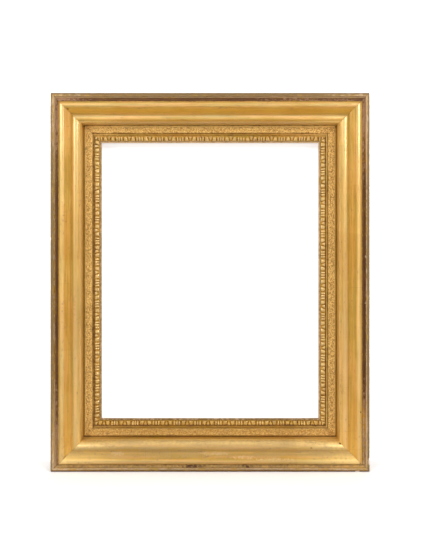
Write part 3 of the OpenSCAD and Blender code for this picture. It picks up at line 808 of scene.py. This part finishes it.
class Finish:
    """A node tree being made. Each call adds a node and gives back its output."""

    def __init__(self, owner):
        self.owner = owner
        owner.use_nodes = True
        self.tree = owner.node_tree
        self.tree.nodes.clear()

    def add(self, kind, inputs, output=0, **settings):
        node = self.tree.nodes.new("ShaderNode" + kind)
        for key, value in settings.items():
            setattr(node, key, value)
        for key, value in inputs.items():
            if isinstance(value, bpy.types.NodeSocket):
                self.tree.links.new(value, node.inputs[key])
            else:
                node.inputs[key].default_value = value
        return node.outputs[output]

    def attribute(self, name, output="Fac"):
        return self.add("Attribute", {}, output, attribute_name=name)

    def place(self, scale=(1, 1, 1), source=None):
        """Object coordinates in metres, or another vector, times a scale."""
        source = source or self.add("TexCoord", {}, "Object")
        return self.add("Mapping", {0: source, 3: scale})

    def noise(self, vector, scale, detail=4.0, rough=0.55, bend=0.0):
        inputs = {"Vector": vector, "Scale": scale, "Detail": detail, "Roughness": rough, "Distortion": bend}
        return self.add("TexNoise", inputs)

    def range(self, value, a, b, low=0.0, high=1.0):
        """A smooth step from low at a to high at b."""
        return self.add("MapRange", {0: value, 1: a, 2: b, 3: low, 4: high}, interpolation_type="SMOOTHSTEP")

    def math(self, operation, a, b=0.0):
        return self.add("Math", {0: a, 1: b}, operation=operation)

    def sum(self, a, b):
        return self.math("ADD", a, b)

    def times(self, a, b):
        return self.math("MULTIPLY", a, b)

    def most(self, first, *others):
        for other in others:
            first = self.math("MAXIMUM", first, other)
        return first

    def mix(self, share, a, b):
        """A colour between a and b."""
        return self.add("Mix", {0: share, 6: a, 7: b}, 2, data_type="RGBA")

    def blend(self, share, a, b):
        """A plain number between a and b."""
        return self.add("Mix", {0: share, 2: a, 3: b}, 0, data_type="FLOAT")

    def bump(self, height, depth, normal=None):
        """A normal raised by a height of depth metres, over another normal if given."""
        inputs = {"Height": height, "Distance": depth, "Strength": 1.0}
        if normal:
            inputs["Normal"] = normal
        return self.add("Bump", inputs)

    def seen(self):
        """1 for the eye, metal and glass, 0 for the light that falls on the object."""
        rays = ("Is Camera Ray", "Is Glossy Ray", "Is Transmission Ray")
        return self.most(*[self.add("LightPath", {}, ray) for ray in rays])

    def surface(self, **inputs):
        """Ends a material with a principled surface."""
        named = {key.replace("_", " "): value for key, value in inputs.items()}
        return self.end(self.add("BsdfPrincipled", named))

    def end(self, shader, kind="Material"):
        output = self.tree.nodes.new("ShaderNodeOutput" + kind)
        self.tree.links.new(shader, output.inputs["Surface"])
        return self.owner


class Gilt(Finish):
    """A finish of old gold leaf, with the marks of its mesh and the textures that several parts share."""

    MARKS = (
        "grime", "bole", "dull", "rub", "scuff", "chip", "leaf", "deep", "sand", "dust", "raw", "gloss",
        "bright", "warm",
    )

    def __init__(self, owner):
        super().__init__(owner)
        self.st = self.attribute("st", "Vector")
        self.along = self.place((0.16, 1.0, 1.0), self.st)
        self.mark = {key: self.attribute(key) for key in self.MARKS}
        self.cloud = self.noise(self.st, 16.0, 5.0, 0.6, 0.4)
        self.fine = self.noise(self.st, 190.0, 5.0, 0.62)
        self.streak = self.noise(self.along, 190.0, 4.0, 0.6)
        self.speck = self.noise(self.st, 800.0, 3.0, 0.7)

    def part(self, axis):
        """The place along, in or up."""
        return self.add("SeparateXYZ", {0: self.st}, axis)


def leaf_colour(f):
    """Gold leaf, in streaks, bands and squares, with its tones, and painted shade, painted highlight and
    painted light, from the marks.
    """
    mark = f.mark
    bands = f.noise(f.place((0.03, 1.0, 1.0), f.st), 300.0, 3.0, 0.6)
    gold = f.mix(f.range(f.cloud, 0.34, 0.66), GOLD_MID, GOLD_DEEP)
    gold = f.mix(f.range(f.streak, 0.35, 0.75, 0.0, 0.45), gold, GOLD_SHADE)
    gold = f.mix(f.range(bands, 0.49, 0.58, 0.0, 0.85), gold, GOLD_ROSE)
    gold = f.mix(f.range(bands, 0.49, 0.40, 0.0, 0.85), gold, GOLD_OLIVE)
    # a darker tone and painted shade
    gold = f.mix(f.times(mark["deep"], 0.9), gold, GOLD_SHADE)
    # a pale tone and painted highlight
    gold = f.mix(f.times(mark["leaf"], f.range(f.streak, 0.3, 0.7, 0.9, 0.55)), gold, GOLD_PALE)
    # painted light
    gold = f.mix(f.times(mark["bright"], 0.8), gold, GOLD_PAINTED_LIGHT)
    # a warmer tone and painted light
    gold = f.mix(mark["warm"], gold, GOLD_WARM_LIGHT)
    # squares of leaf, faintly unlike one another
    size = f.place((12.4, 9.0, 0.0), f.st)
    squares = f.add("TexVoronoi", {"Vector": size, "Scale": 1.0, "Randomness": 0.35}, "Color")
    patch = f.add("SeparateColor", {0: squares}, 0)
    gold = f.mix(f.range(patch, 0.1, 0.9, 0.0, 0.18), gold, GOLD_SHADE)
    # thin leaf lets the bole through in fine scratches and worn specks
    worn = f.range(f.noise(f.along, 420.0, 6.0, 0.7), 0.60, 0.74, 0.0, 0.35)
    return f.mix(f.times(worn, f.range(f.cloud, 0.4, 0.6, 0.25, 1.0)), gold, AUBERGINE)


def sand_colour(f, gold):
    """The sanded ground, painted paler than the leaf beside it, partly as painted light, and speckled, with
    painted shade and painted light from the marks.
    """
    sand, mark = f.mark["sand"], f.mark
    clump = f.noise(f.place((0.6, 1.0, 1.0), f.st), 400.0, 3.0, 0.6)
    # a darker tone and painted shade
    gold = f.mix(f.times(sand, 0.85), gold, f.mix(mark["deep"], SAND_LIGHT, SAND_TONE_AND_SHADE))
    # painted light beside the quirk
    gold = f.mix(f.times(sand, f.times(mark["leaf"], 0.6)), gold, SAND_LIGHT)
    # painted light
    gold = f.mix(f.times(sand, f.times(mark["bright"], 0.75)), gold, GOLD_PAINTED_LIGHT)
    gold = f.mix(f.times(sand, f.range(f.speck, 0.34, 0.59, 0.92, 0.0)), gold, SAND_SHADE)
    return f.mix(f.times(sand, f.range(clump, 0.36, 0.54, 0.58, 0.0)), gold, SAND_SHADE)


def worn_shares(f):
    """How far each kind of wear, and the painted shade among the dirt, covers the gold, with ragged edges."""
    mark = f.mark
    ragged = f.sum(f.range(f.fine, 0.35, 0.65, -0.18, 0.18), f.range(f.streak, 0.3, 0.7, -0.14, 0.14))
    # mark, how ragged, and where it begins and is full
    edges = {
        "dull": ("dull", 0.9, 0.10, 0.80),
        "bole": ("bole", 1.3, 0.20, 0.80),
        "rub": ("rub", 1.0, 0.30, 0.75),
        "dirt": ("grime", 0.7, 0.18, 1.0),
        "soot": ("grime", 0.5, 0.75, 1.1),
        "scuff": ("scuff", 1.6, 0.35, 1.4),
        "dust": ("dust", 1.0, 0.1, 0.9),
    }
    share = {}
    for key, (name, rag, start, full) in edges.items():
        share[key] = f.range(f.sum(mark[name], f.times(ragged, rag)), start, full)
    share["dust"] = f.times(share["dust"], 0.6)
    share["chip"] = f.range(mark["chip"], 0.2, 0.6)
    share["raw"] = mark["raw"]
    # the ochre wash on the outer side
    share["wash"] = f.times(f.range(f.part(2), 0.041, 0.034), f.range(f.part(1), 0.003, 0.001))
    return share


def worn_colour(f, share, gold):
    """The gold under dust, dull age, wash, bare gesso and bole, dirt and painted shade, scuffs and chips."""
    colour = f.mix(share["dust"], gold, DUST)
    colour = f.mix(f.times(share["dull"], 0.9), colour, OLIVE_BROWN)
    colour = f.mix(share["wash"], colour, OCHRE_WASH)
    colour = f.mix(f.times(share["rub"], f.blend(share["bole"], 0.75, 0.0)), colour, GESSO_PINK)
    red = f.mix(f.range(f.streak, 0.3, 0.7), AUBERGINE, PLUM)
    red = f.mix(f.times(share["rub"], 0.8), red, BOLE_ROSE)
    colour = f.mix(f.times(share["bole"], 0.94), colour, red)
    # dirt, and painted shade where the marks put it
    colour = f.mix(f.times(share["dirt"], 0.9), colour, DIRT_AND_SHADE)
    # the darkest dirt, and the painted shadow along the lower rail's edge
    colour = f.mix(f.times(share["soot"], 0.7), colour, UMBER)
    colour = f.mix(f.times(share["scuff"], 0.45), colour, SCUFF_PALE)
    return f.mix(share["chip"], colour, f.mix(f.range(f.fine, 0.4, 0.6), RAW_WOOD, GESSO_PINK))


def hairlines(f):
    """Hairline cracks across the grain."""
    sway = f.sum(f.part(0), f.times(f.noise(f.st, 60.0, 3.0), 0.004))
    settings = {"voronoi_dimensions": "1D", "feature": "DISTANCE_TO_EDGE"}
    crack = f.add("TexVoronoi", {"W": sway, "Scale": 17.0}, "Distance", **settings)
    return f.times(f.range(crack, 0.0032, 0.0012), f.range(f.noise(f.st, 30.0, 2.0), 0.55, 0.64))


def gilt_relief(f, crack, grain):
    """The normal: slow unevenness, brush lines, a fine grain, the cracks, and the sand where it lies."""
    normal = f.bump(f.noise(f.st, 45.0, 4.0, 0.5), 0.0005)
    normal = f.bump(f.streak, 0.00005, normal)
    normal = f.bump(f.fine, 0.00008, normal)
    normal = f.bump(f.times(crack, -1.0), 0.00008, normal)
    if grain:
        normal = f.bump(f.times(f.mark["sand"], f.speck), grain, normal)
    return normal


def gilding(name, grain=0.0):
    """Old gold leaf on bole and gesso. grain is the depth of the sanded parts in metres."""
    f = Gilt(bpy.data.materials.new(name))
    share = worn_shares(f)
    crack = hairlines(f)
    colour = worn_colour(f, share, sand_colour(f, leaf_colour(f)))
    colour = f.mix(f.times(crack, 0.45), colour, UMBER)
    colour = f.mix(share["raw"], colour, f.mix(f.range(f.streak, 0.3, 0.7), BARE_PINE, RAW_WOOD))
    matt = {"bole": 0.85, "dirt": 0.7, "rub": 0.9, "dull": 0.6, "scuff": 0.8}
    matt = [f.times(share[key], value) for key, value in matt.items()]
    matt = f.most(*matt, share["wash"], share["chip"], share["dust"], share["raw"])
    gloss, sand = f.mark["gloss"], f.mark["sand"]
    plain = f.range(f.cloud, 0.3, 0.7, 0.68, 0.76)
    burnished = f.range(f.cloud, 0.3, 0.7, 0.38, 0.46)
    return f.surface(
        Base_Color=colour,
        Metallic=f.blend(matt, f.blend(sand, 0.88, 0.6), 0.0),
        Roughness=f.blend(f.most(matt, sand), f.blend(gloss, plain, burnished), 0.75),
        Normal=gilt_relief(f, crack, grain),
        Coat_Weight=f.blend(matt, f.blend(gloss, 0.08, 1.0), 0.0),
        Coat_Roughness=0.28,
        Coat_IOR=1.85,
        Specular_IOR_Level=0.2,
    )


def by_grain(grain, along, through, across):
    """A scale for wood whose grain runs along X, or else along Z."""
    return (along, through, across) if grain == "X" else (across, through, along)


def pine(name, grain):
    """Old pine, its grain along X or Z, browned by air and dust."""
    f = Finish(bpy.data.materials.new(name))
    here = f.place()
    ring = f.noise(f.place(by_grain(grain, 1.3, 16.0, 16.0)), 1.6, 5.0, 0.55, 1.1)
    lines = f.math("FRACT", f.times(ring, 13.0))
    late = f.range(f.math("PINGPONG", lines, 0.5), 0.34, 0.5)
    fibres = f.noise(f.place(by_grain(grain, 6.0, 260.0, 260.0)), 1.0, 4.0, 0.6)
    stain = f.noise(here, 7.0, 5.0, 0.6, 0.5)
    bloom = f.noise(here, 3.0, 3.0)
    dust = f.noise(here, 420.0, 4.0, 0.65)
    saw = f.noise(f.place(by_grain(grain, 420.0, 1.0, 14.0)), 1.0, 2.0)
    colour = f.mix(late, PINE_EARLY, PINE_LATE)
    colour = f.mix(f.range(fibres, 0.35, 0.7, 0.0, 0.45), colour, PINE_FIBRE)
    colour = f.mix(f.range(stain, 0.42, 0.75, 0.0, 0.75), colour, PINE_STAIN)
    colour = f.mix(f.range(bloom, 0.5, 0.7, 0.0, 0.3), colour, PINE_BLOOM)
    colour = f.mix(f.range(dust, 0.55, 0.7, 0.0, 0.3), colour, PINE_DUST)
    normal = f.bump(fibres, 0.00018, f.add("Bevel", {"Radius": 0.0009}, samples=6))
    normal = f.bump(late, 0.00012, normal)
    normal = f.bump(saw, 0.00008, normal)
    return f.surface(Base_Color=colour, Roughness=f.range(fibres, 0.3, 0.7, 0.62, 0.82), Normal=normal)


def old_metal(name, clean, stain, rough, stain_from):
    """Old hardware with a patchy stain over its metal."""
    f = Finish(bpy.data.materials.new(name))
    here = f.place()
    patch = f.noise(here, 260.0, 5.0, 0.65, 0.3)
    pits = f.noise(here, 1500.0, 3.0, 0.7)
    share = f.range(patch, stain_from, stain_from + 0.24)
    colour = f.mix(share, clean, stain)
    colour = f.mix(f.range(pits, 0.45, 0.7, 0.0, 0.5), colour, METAL_PIT)
    normal = f.bump(pits, 0.00008, f.add("Bevel", {"Radius": 0.0003}, samples=6))
    normal = f.bump(patch, 0.00010, normal)
    return f.surface(
        Base_Color=colour, Metallic=f.blend(share, 0.9, 0.27), Roughness=f.blend(share, rough, 0.75),
        Normal=normal
    )


def paint(name, glow):
    """White paint that keeps shadows, seen only from the front and by the eye, metal and glass."""
    f = Finish(bpy.data.materials.new(name))
    front = f.math("SUBTRACT", 1.0, f.add("NewGeometry", {}, "Backfacing"))
    colour = f.mix(f.range(f.noise(f.place(), 9.0, 3.0), 0.3, 0.7), WALL_SHADE, WALL_WHITE)
    lit = f.add("BsdfDiffuse", {"Color": colour})
    shader = f.add("AddShader", {0: lit, 1: f.add("Emission", {"Color": WHITE, "Strength": glow})})
    clear = f.add("BsdfTransparent", {})
    return f.end(f.add("MixShader", {0: f.times(f.seen(), front), 1: clear, 2: shader}))


# The gilt rails and strips, which stand for their CAD nodes
gold = gilding("gilding")
sanded = gilding("sanded_gilding", 0.00035)
composition = gilding("gilt_composition")
ogee, flat = ogee_section(), frieze_section()
for side in SIDES:
    moulding = rail("gilt_moulding_" + side, side, ogee, ogee_push, ogee_marks)
    frieze = rail("sanded_frieze_" + side, side, flat, frieze_push, frieze_marks)
    made = (
        (moulding, "moulding_", gold, "gilding"),
        (frieze, "frieze_rail_", sanded, "sanded_gilding"),
        (leaf_strip(side), "leaf_strip_", composition, "gilt_composition"),
    )
    for piece, node, finish, slot in made:
        piece.data.materials.append(finish)
        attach(piece, "frame")
        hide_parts(node + side)

# The CAD nodes that stay, by the start of their names
iron = old_metal("rusty_iron", IRON, RUST, 0.45, 0.42)
finishes = {
    "back_rail": pine("pine_across", "X"),
    "back_stile": pine("pine_upright", "Z"),
    "lap_pegs": pine("peg_wood", "X"),
    "moulding_nails": iron,
    "frieze_brads": iron,
    "screw_eye": iron,
    "hanging_ring": iron,
    "turn_button": old_metal("tarnished_brass", BRASS, TARNISH, 0.38, 0.48),
}
for node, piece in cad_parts.items():
    for start, finish in finishes.items():
        if node.startswith(start):
            for material_slot in piece.material_slots:
                material_slot.material = finish


def aimed(name, data, at, face, axis):
    """A new object at a place, with one of its axes towards another place."""
    piece = bpy.data.objects.new(name, data)
    bpy.context.scene.collection.objects.link(piece)
    piece.location = at
    piece.rotation_euler = (Vector(face) - Vector(at)).to_track_quat(axis, "Y").to_euler()
    return piece


def card(name, at, face, material):
    """A large flat square that faces a point."""
    half = 4.0
    corners = [(-half, -half, 0), (half, -half, 0), (half, half, 0), (-half, half, 0)]
    mesh = bpy.data.meshes.new(name)
    mesh.from_pydata(corners, [], [(0, 1, 2, 3)])
    mesh.materials.append(material)
    piece = aimed(name, mesh, at, face, "Z")


def area_lamp(name, size, at, face, watts):
    """A soft rectangular lamp aimed at a point."""
    light = bpy.data.lights.new(name, "AREA")
    light.shape = "RECTANGLE"
    light.size, light.size_y = size
    light.energy = watts
    aimed(name, light, at, face, "-Z")


# The wall just behind the rings, the table that the frame stands on, and how much they glow by themselves
FAR = 9
WALL_GAP = 0.004
WALL_GLOW = 0.6
TABLE_Z = -0.0005
TABLE_GLOW = 0.21
middle = Vector((0, 0, HEIGHT * MM / 2))
card("wall", (0, cad_hi.y + WALL_GAP, middle.z), (0, -FAR, middle.z), paint("white_wall", WALL_GLOW))
card("floor", (0, 0, TABLE_Z), (0, 0, FAR), paint("white_table", TABLE_GLOW))

# name, size, place and watts
LAMPS = (
    ("overhead", (2.4, 0.6), (0, -1.4, 1.9), 7),
    ("front", (2.8, 2.2), (0, -2.8, 0.45), 3),
    ("left", (0.8, 0.35), (-1.15, -1.6, 0.98), 16),
    ("right", (0.8, 0.35), (1.15, -1.6, 0.98), 16),
    ("behind", (2.0, 2.0), (0.3, 2.6, 1.1), 30),
)
for lamp, lamp_size, lamp_at, lamp_watts in LAMPS:
    area_lamp(lamp, lamp_size, lamp_at, middle, lamp_watts)

# The world lights the object less brightly than it looks
WORLD_LIGHT, WORLD_SEEN = 0.65, 1.0
world = bpy.data.worlds.new("world")
bpy.context.scene.world = world
sky = Finish(world)
sky.end(sky.add("Background", {"Strength": sky.blend(sky.seen(), WORLD_LIGHT, WORLD_SEEN)}), "World")

# The camera, set by the photograph: its distance from the fillet, and where its axis meets the picture
EYE_DISTANCE, EYE_X, EYE_Z = 1.25, 0.006, 0.457
SENSOR, LENS = 36.0, 45.72
PICTURE_W, PICTURE_H = 432, 555
AXIS_X, AXIS_Y = 213.4, 214.4
camera_data = bpy.data.cameras.new("camera")
camera_data.sensor_fit = "AUTO"
camera_data.sensor_width = SENSOR
camera_data.lens = LENS
camera_data.shift_x = (PICTURE_W / 2 - AXIS_X) / PICTURE_H
camera_data.shift_y = -(PICTURE_H / 2 - AXIS_Y) / PICTURE_H
camera = bpy.data.objects.new("camera", camera_data)
bpy.context.scene.collection.objects.link(camera)
camera.location = (EYE_X, BACK_Y - FILLET_TOP * MM - EYE_DISTANCE, EYE_Z)
camera.rotation_euler = (math.pi / 2, 0, 0)
bpy.context.scene.camera = camera
bpy.context.scene.view_settings.view_transform = "Standard"
